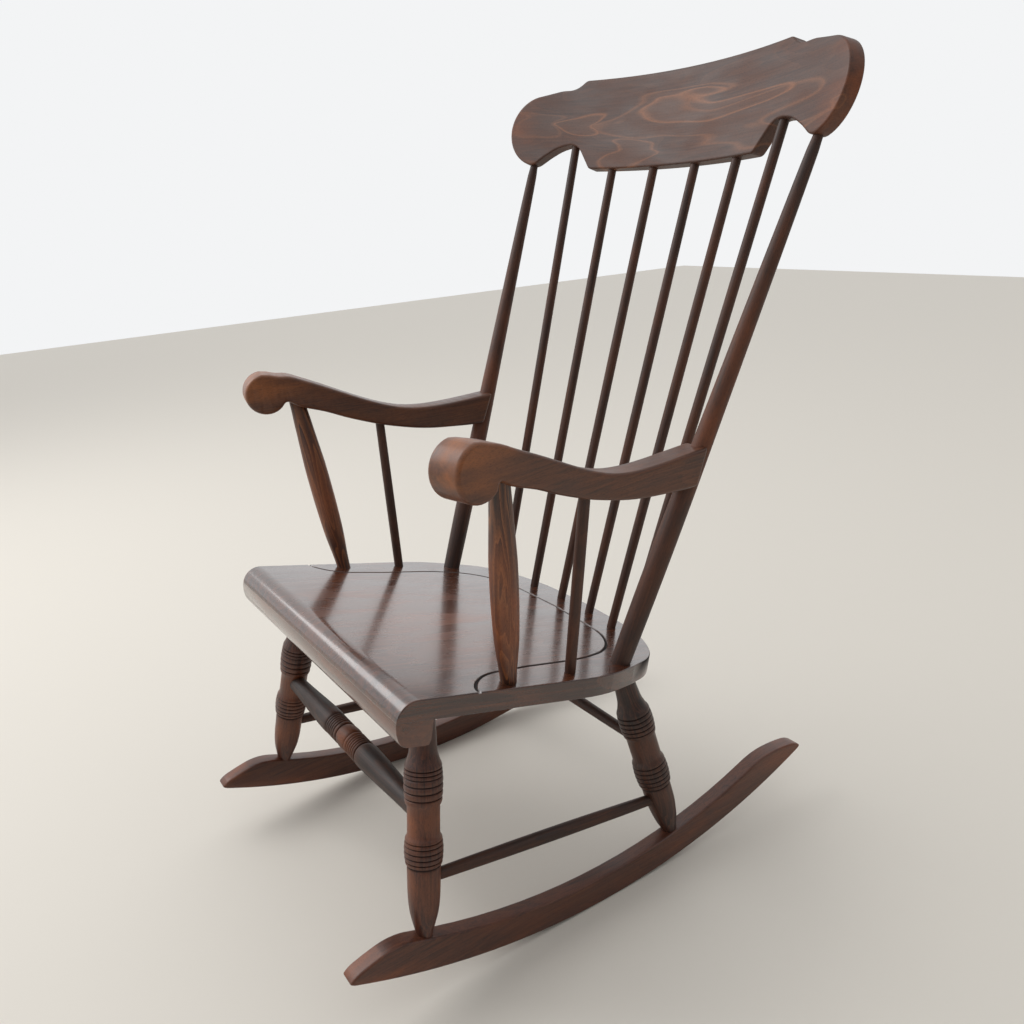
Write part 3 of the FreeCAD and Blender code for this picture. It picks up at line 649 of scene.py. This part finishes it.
def makeArm(name, radius, number):
    # drawn on the sitter's left
    centreY, centreZ = arm["scrollCentre"]
    larger = radius - arm["scrollRadii"][1]
    centreY += arm["scrollBack"] * (larger > 0)
    scroll = []
    for degrees in arm["scrollDegrees"]:
        angle = math.radians(degrees)
        scroll.append((centreY + radius * math.cos(angle), centreZ + radius * math.sin(angle)))
    lifts = [larger * share for share in arm["lift"]]
    top = [(y, z + lift) for (y, z), lift in zip(arm["top"], lifts + [0.0] * len(arm["top"]))]
    outline = smoothThrough(top, 3) + smoothUnder(arm["under"]) + scroll
    startY = arm["middle"][1]
    longer = 1 / math.cos(math.radians(arm["swing"] - 90))
    outline = [((y - startY) * longer, z) for y, z in outline]
    low, high = min(x for x, z in outline), max(x for x, z in outline)
    count = int((high - low) / arm["strip"])
    piece = sawBoard(name, outline, arm["wide"], arm["arris"],
                     [low + (high - low) * k / count for k in range(1, count)])
    piece.data.transform(shiftBy(0, -arm["wide"] / 2, 0))
    for vertex in piece.data.vertices:
        toFront = max(0.0, min(1.0, (arm["widenFrom"] * mm - vertex.co.x) / (arm["widenOver"] * mm)))
        vertex.co.y *= 1 + arm["widen"] * toFront ** 2 * (3 - 2 * toFront)
    keepGrainPlace(piece, "x", number)
    keepWear(piece, armWear)
    bendBoard(piece, arm["bow"])
    settleBoard(piece, shiftBy(*arm["middle"], 0) @ turnBy(arm["swing"], "Z"), armBeech)
    return piece


def makeArms():
    near, far = arm["scrollRadii"]
    joinFrame(makeArm("armLeft", near, 15), "arm_left")
    pattern = makeArm("armPattern", far, 16)
    joinFrame(otherSide(pattern, "armRight"), "arm_right")
    bpy.data.objects.remove(pattern)


post = {
    "foot": (233.3, -144.5, 370.0), "head": (278.9, -165.0, 624.4), "stretch": 259.2 / 248, "wear": (1.0, 115, 120),
    "profile": [(-10, 9.4), (2, 9.8), (20, 11.0), (39, 12.95), (60, 14.6), (88, 15.6), (115, 16.1), (155, 15.95),
                (168, 15.45), (193, 14.2), (205, 13.55), (223, 12.8), (239, 11.8), (256, 11.2)],
}


def makePosts():
    profile = smoothThrough([(place * post["stretch"], radius) for place, radius in post["profile"]], 4)
    piece = turnOnLathe("armPostLeft", profile)
    keepGrainPlace(piece, "z", 17)
    keepWear(piece, wornAround(*post["wear"]))
    settle(piece, alongLine(post["foot"], post["head"]), postBeech)
    other = otherSide(piece, "armPostRight")
    joinFrame(piece, "arm_post_left")
    joinFrame(other, "arm_post_right")


armSpindle = {
    "foot": (229.0, -53.5, 347.3), "head": (260.0, -44.0, 573.2), "wear": 0.2,
    "profile": [(-10, 6.7), (10, 6.8), (110, 7.0), (215, 6.8), (240, 6.6)],
}


def makeArmSpindles():
    piece = turnOnLathe("armSpindleLeft", smoothThrough(armSpindle["profile"], 4), thinTurning)
    keepGrainPlace(piece, "z", 19)
    keepWear(piece, lambda place: armSpindle["wear"])
    settle(piece, alongLine(armSpindle["foot"], armSpindle["head"]), barBeech)
    other = otherSide(piece, "armSpindleRight")
    joinFrame(piece, "arm_spindle_left")
    joinFrame(other, "arm_spindle_right")


makeArms()
makePosts()
makeArmSpindles()
print("arms made")


# a ring between two grooves: places in shares of its width, and its rise in shares of the lift
reed = {
    "shape": ((0.16, -0.35), (0.32, 0.0), (0.5, 0.15), (0.68, 0.0), (0.84, -0.35)),
    "mostLift": 0.8, "liftShare": 0.096,
}


def reeds(grooves, start, end, level, swell, cut):
    # a swelling with grooves turned in it, with the ring between two grooves slightly rounded
    def radiusAt(place):
        middle, half = (start + end) / 2, (end - start) / 2
        return level + swell * (1 - ((place - middle) / half) ** 2)

    marks = [start] + list(grooves) + [end]
    run = []
    for low, high in zip(marks, marks[1:]):
        width = high - low
        lift = min(reed["mostLift"], width * reed["liftShare"])
        for share, rise in reed["shape"]:
            place = low + width * share
            run.append((place, radiusAt(place) + rise * lift))
        if high < end:
            run.append((high, radiusAt(high) - cut))
    return run


# distances are measured from the rocker up the leg
frontLeg = {
    "foot": (232.0, -285.5, 85.9), "top": (183.0, -230.5, 365.2),
    "ankle": [(-9, 9.6), (1.4, 10.35), (13.5, 13.6), (26, 16.8), (38, 18.55), (51, 19.45), (63, 19.7), (81.5, 20.1)],
    "lowCut": 84.2, "lowRow": (86, 119), "lowGrooves": [90.2, 96.4, 102.8, 109.4, 114.6],
    "waist": [(120.5, 20.1), (124, 19.45), (140, 19.45), (156, 19.55)],
    "highRow": (158.5, 207), "highGrooves": [166.2, 174.6, 183.0, 191.4, 196.4, 201.2],
    "neck": [(209, 20.2), (213, 18.9), (220, 16.9), (240, 15.6), (262, 14.4), (284, 13.7), (303, 13.5)],
    "bead": 21.6, "swell": 1.7, "cut": 1.9,
}
rearLeg = {
    "foot": (232.0, 101.5, 47.6), "top": (188.0, 58.5, 293.0),
    "ankle": [(-9, 9.6), (0, 10.2), (8, 12.4), (15, 14.6), (29, 17.4), (45, 19.5), (58, 20.0), (72, 20.1)],
    "lowCut": 74.5, "lowRow": (76, 116), "lowGrooves": [82.0, 88.6, 95.4, 102.2, 109.0],
    "waist": [(118, 20.3), (122, 20.0), (138, 20.1), (153, 20.2)],
    "highRow": (155, 195), "highGrooves": [161.6, 168.2, 174.8, 181.4, 188.0],
    "neck": [(197, 20.2), (201, 18.9), (208, 16.9), (222, 15.4), (236, 14.5), (250, 13.8), (266, 13.5)],
    "bead": 22.0, "swell": 1.9, "cut": 1.9,
}
bothLegs = {"facets": 48, "lowCutDepth": 1.0, "waistWear": 0.9, "ankleWear": 0.8, "ankleMiddle": 60, "wearFade": 50}


def makeLeg(name, leg, number, nodeNames, finish):
    profile = smoothThrough(leg["ankle"], 3)
    profile.append((leg["lowCut"], leg["ankle"][-1][1] - bothLegs["lowCutDepth"]))
    profile += reeds(leg["lowGrooves"], *leg["lowRow"], leg["bead"], leg["swell"], leg["cut"])
    profile += smoothThrough(leg["waist"], 2)
    profile += reeds(leg["highGrooves"], *leg["highRow"], leg["bead"], leg["swell"], leg["cut"])
    profile += smoothThrough(leg["neck"], 3)
    piece = turnOnLathe(name + "Left", profile, bothLegs["facets"])
    keepGrainPlace(piece, "z", number)
    waistMiddle = (leg["lowRow"][1] + leg["highRow"][0]) / 2
    waist = wornAround(bothLegs["waistWear"], waistMiddle, bothLegs["wearFade"])
    ankle = wornAround(bothLegs["ankleWear"], bothLegs["ankleMiddle"], bothLegs["wearFade"])
    keepWear(piece, lambda place: max(waist(place), ankle(place)))
    # painted shade, with dark stain, in the bottoms of the leg's grooves
    paintGrooveShade(piece, [leg["lowCut"]] + leg["lowGrooves"] + leg["highGrooves"])
    settle(piece, alongLine(leg["foot"], leg["top"]), finish)
    other = otherSide(piece, name + "Right")
    joinFrame(piece, nodeNames + "_left")
    joinFrame(other, nodeNames + "_right")


# distances are measured from the middle of the bar
frontBar = {
    "middle": (0, -258.3, 224.0), "bead": [(0, 17.0), (5, 16.8), (9.5, 16.3), (12, 15.6), (13.3, 14.4)],
    "grooves": [21, 26, 31, 36, 41, 46], "reedRadius": 16.6, "cut": 1.9,
    "reedShape": ((0.2, 0.45), (0.38, 0.05), (0.62, 0.05), (0.8, 0.45)),
    "taper": [(48.5, 16.4), (52, 17.0), (60, 17.1), (75, 16.8), (90, 16.2), (120, 14.8), (150, 13.4),
              (180, 12.3), (200, 11.9)],
    "wear": (0.75, 0, 90),
}


def makeFrontBar():
    half = list(frontBar["bead"])
    beadEnd = last = half[-1][0]
    for place in frontBar["grooves"]:
        width = place - last
        half += [(last + width * share, frontBar["reedRadius"] - drop) for share, drop in frontBar["reedShape"]]
        half.append((place, frontBar["reedRadius"] - frontBar["cut"]))
        last = place
    half += smoothThrough(frontBar["taper"], 3)
    piece = turnOnLathe("frontStretcher", [(-place, radius) for place, radius in reversed(half[1:])] + half)
    keepGrainPlace(piece, "z", 27)
    keepWear(piece, wornAround(*frontBar["wear"]))
    # painted shade, with dark stain, in the bottoms of the stretcher's grooves
    paintGrooveShade(piece, [beadEnd] + frontBar["grooves"])
    settle(piece, shiftBy(*frontBar["middle"]) @ turnBy(90, "Y"), barBeech)
    joinFrame(piece, "front_stretcher")


# start, end and greatest radius of each plain bar
plainBars = {
    "rear": ((-207.7, 77.8, 183.0), (207.7, 77.8, 183.0), 8.2),
    "side": ((220.8, -272.9, 150.0), (223.0, 92.7, 98.0), 8.7),
    "endLess": 1.5, "shoulder": 0.45, "sunk": 10, "wear": 0.15,
}


def makePlainBar(name, ends, number):
    start, end, radius = ends
    length = (Vector(end) - Vector(start)).length
    less, sunk = plainBars["endLess"], plainBars["sunk"]
    shoulder = radius - less * plainBars["shoulder"]
    profile = smoothThrough([(sunk, radius - less), (length * 0.2, shoulder), (length * 0.5, radius),
                             (length * 0.8, shoulder), (length - sunk, radius - less)])
    piece = turnOnLathe(name, profile, thinTurning)
    keepGrainPlace(piece, "z", number)
    keepWear(piece, lambda place: plainBars["wear"])
    return settle(piece, alongLine(start, end), barBeech)


def makeStretchers():
    joinFrame(makePlainBar("rearStretcher", plainBars["rear"], 28), "rear_stretcher")
    left = makePlainBar("sideStretcherLeft", plainBars["side"], 29)
    right = otherSide(left, "sideStretcherRight")
    joinFrame(left, "side_stretcher_left")
    joinFrame(right, "side_stretcher_right")


makeLeg("frontLeg", frontLeg, 21, "front_leg", legBeech)
# rear legs take the leg wood painted darker as painted shade
makeLeg("rearLeg", rearLeg, 24, "rear_leg", shadedRearLegBeech)
makeFrontBar()
makeStretchers()
print("legs made")


rocker = {
    "middle": 233.5, "thick": 23.5, "radius": 924.0, "balance": -16.6, "arris": 3.0, "arrisFacets": 3,
    "topMiddle": -17.5, "deep": 38.5, "nose": -387.5, "tail": 358.5, "tip": 1.5, "lowSteps": 44,
    "noseTop": [(-303.5, 92.2), (-345.5, 95.5), (-373, 88.2), (-384.5, 82.0)],
    "tailTop": [(253.1, 86.9), (296.5, 94.7), (338, 91.2), (355, 84.2)],
    "wear": 0.25, "tipWear": 0.5, "wearMiddle": -15, "wearHalf": 330,
}


def rollingHeight(y):
    return rocker["radius"] - math.sqrt(rocker["radius"] ** 2 - (y - rocker["balance"]) ** 2)


def rockerWear(place):
    return rocker["wear"] + rocker["tipWear"] * (abs(place.x - rocker["wearMiddle"]) > rocker["wearHalf"])


def makeRockers():
    nose, tail, tip, steps = (rocker[key] for key in ("nose", "tail", "tip", "lowSteps"))
    middle = (rocker["topMiddle"], rocker["deep"])
    back = arcsThrough([middle] + rocker["tailTop"], heading=0.0, step=2.5)
    front = arcsThrough([middle] + rocker["noseTop"], heading=math.pi, step=2.5)
    low = [tail - 4 * tip + (nose - tail + 8 * tip) * k / steps for k in range(steps + 1)]
    outline = list(reversed(front)) + back[1:] + [(tail, rollingHeight(tail) + tip)]
    outline += [(y, rollingHeight(y)) for y in low] + [(nose, rollingHeight(nose) + tip)]
    piece = sawBoard("rockerLeft", outline, rocker["thick"], rocker["arris"], segments=rocker["arrisFacets"])
    keepGrainPlace(piece, "x", 31)
    keepWear(piece, rockerWear)
    settleBoard(piece, shiftBy(rocker["middle"] + rocker["thick"] / 2, 0, 0) @ turnBy(90, "Z"), rockerBeech)
    other = otherSide(piece, "rockerRight")
    joinFrame(piece, "runner_left")
    joinFrame(other, "runner_right")


makeRockers()
print("rockers made")


def platedSteel():
    # bronze plated steel, dull from handling: soft warm highlights with a slight unevenness
    made = emptyMaterial("platedSteel")
    tree = made.node_tree
    place = addNode(tree, "ShaderNodeTexCoord").outputs["Object"]
    spots = addNode(tree, "ShaderNodeTexNoise", {"Scale": 900.0, "Detail": 3.0}, {"Vector": place}).outputs["Fac"]
    tone = setRamp(addNode(tree, "ShaderNodeValToRGB", None, {"Fac": spots}),
                   [(0.35, linear("#5a4c3a")), (0.65, linear("#7d6c54"))])
    shader = addNode(tree, "ShaderNodeBsdfPrincipled", {"Metallic": 1.0},
                     {"Base Color": tone.outputs["Color"], "Roughness": spread(tree, spots, (0.0, 1.0), (0.3, 0.5))})
    addNode(tree, "ShaderNodeOutputMaterial", None, {"Surface": shader.outputs[0]})
    return made


# the screws keep their solid
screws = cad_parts["arm_screws"].data.materials
screws.clear()
screws.append(platedSteel())


room = {
    "floorWide": 14.0, "floorColour": "#dcd6cc", "floorRoughness": 0.7, "skyColour": "#f3f4f5",
    "brightSide": (-0.88, -0.1, 0.46), "edges": (-0.7, 0.7), "strengths": (0.2, 1.2),
}


def makeFloor():
    clearSelection()
    bpy.ops.mesh.primitive_grid_add(size=room["floorWide"], x_subdivisions=4, y_subdivisions=4)
    floor = bpy.context.object
    floor.name = "floor"
    pale = bpy.data.materials.new("paleFloor")
    pale.use_nodes = True
    shader = pale.node_tree.nodes["Principled BSDF"]
    shader.inputs["Base Color"].default_value = linear(room["floorColour"])
    shader.inputs["Roughness"].default_value = room["floorRoughness"]
    floor.data.materials.append(pale)


def makeSky():
    # brighter on one side for the chair, and even for the eye
    world = bpy.data.worlds.new("paleRoom")
    bpy.context.scene.world = world
    world.use_nodes = True
    tree = world.node_tree
    tree.nodes.clear()
    sky = linear(room["skyColour"])
    rays = addNode(tree, "ShaderNodeLightPath").outputs["Is Camera Ray"]
    side = addNode(tree, "ShaderNodeTexCoord").outputs["Generated"]
    facing = addNode(tree, "ShaderNodeVectorMath", {1: room["brightSide"]}, {0: side}, operation="DOT_PRODUCT")
    strength = spread(tree, facing.outputs["Value"], room["edges"], room["strengths"])
    seen = addNode(tree, "ShaderNodeBackground", {"Color": sky, "Strength": 1.0}).outputs[0]
    felt = addNode(tree, "ShaderNodeBackground", {"Color": sky}, {"Strength": strength}).outputs[0]
    mixed = addNode(tree, "ShaderNodeMixShader", None, {0: rays, 1: felt, 2: seen})
    addNode(tree, "ShaderNodeOutputWorld", None, {"Surface": mixed.outputs[0]})


lamps = {
    "window": {"place": (-2.1, -1.5, 2.5), "aim": (0, 0, 0.5), "size": 2.0, "power": 40.0},
    "fill": {"place": (2.6, 1.4, 2.4), "aim": (0, 0, 0.5), "size": 2.4, "power": 5.0},
}


def makeLamps():
    for name, lamp in lamps.items():
        light = bpy.data.lights.new(name, "AREA")
        light.energy = lamp["power"]
        light.size = lamp["size"]
        holder = bpy.data.objects.new(name, light)
        holder.location = lamp["place"]
        aim = Vector(lamp["aim"]) - Vector(lamp["place"])
        holder.rotation_euler = aim.to_track_quat("-Z", "Y").to_euler()
        bpy.context.scene.collection.objects.link(holder)


camera = {
    "place": (1.0453, -0.6372, 0.9021), "azimuth": 57.53, "elevation": 18.94, "roll": -3.92,
    "lens": 32.55, "sensor": 36.0, "shift": -0.0023, "nearest": 0.02,
}


def makeCamera():
    azimuth, elevation, tilt = (math.radians(camera[key]) for key in ("azimuth", "elevation", "roll"))
    out = math.cos(elevation)
    away = Vector((math.sin(azimuth) * out, -math.cos(azimuth) * out, math.sin(elevation)))
    level = Vector((math.cos(azimuth), math.sin(azimuth), 0))
    upward = away.cross(level)
    right = level * math.cos(tilt) + upward * math.sin(tilt)
    upward = upward * math.cos(tilt) - level * math.sin(tilt)
    eye = bpy.data.objects.new("camera", bpy.data.cameras.new("camera"))
    eye.data.lens = camera["lens"]
    eye.data.sensor_width = camera["sensor"]
    eye.data.shift_x = camera["shift"]
    eye.data.clip_start = camera["nearest"]
    turned = Matrix((right, upward, away)).transposed().to_4x4()
    eye.matrix_world = Matrix.Translation(camera["place"]) @ turned
    bpy.context.scene.collection.objects.link(eye)
    bpy.context.scene.camera = eye


makeFloor()
makeSky()
makeLamps()
makeCamera()
bpy.context.scene.view_settings.view_transform = "Standard"
clearSelection()

print("chair finished")
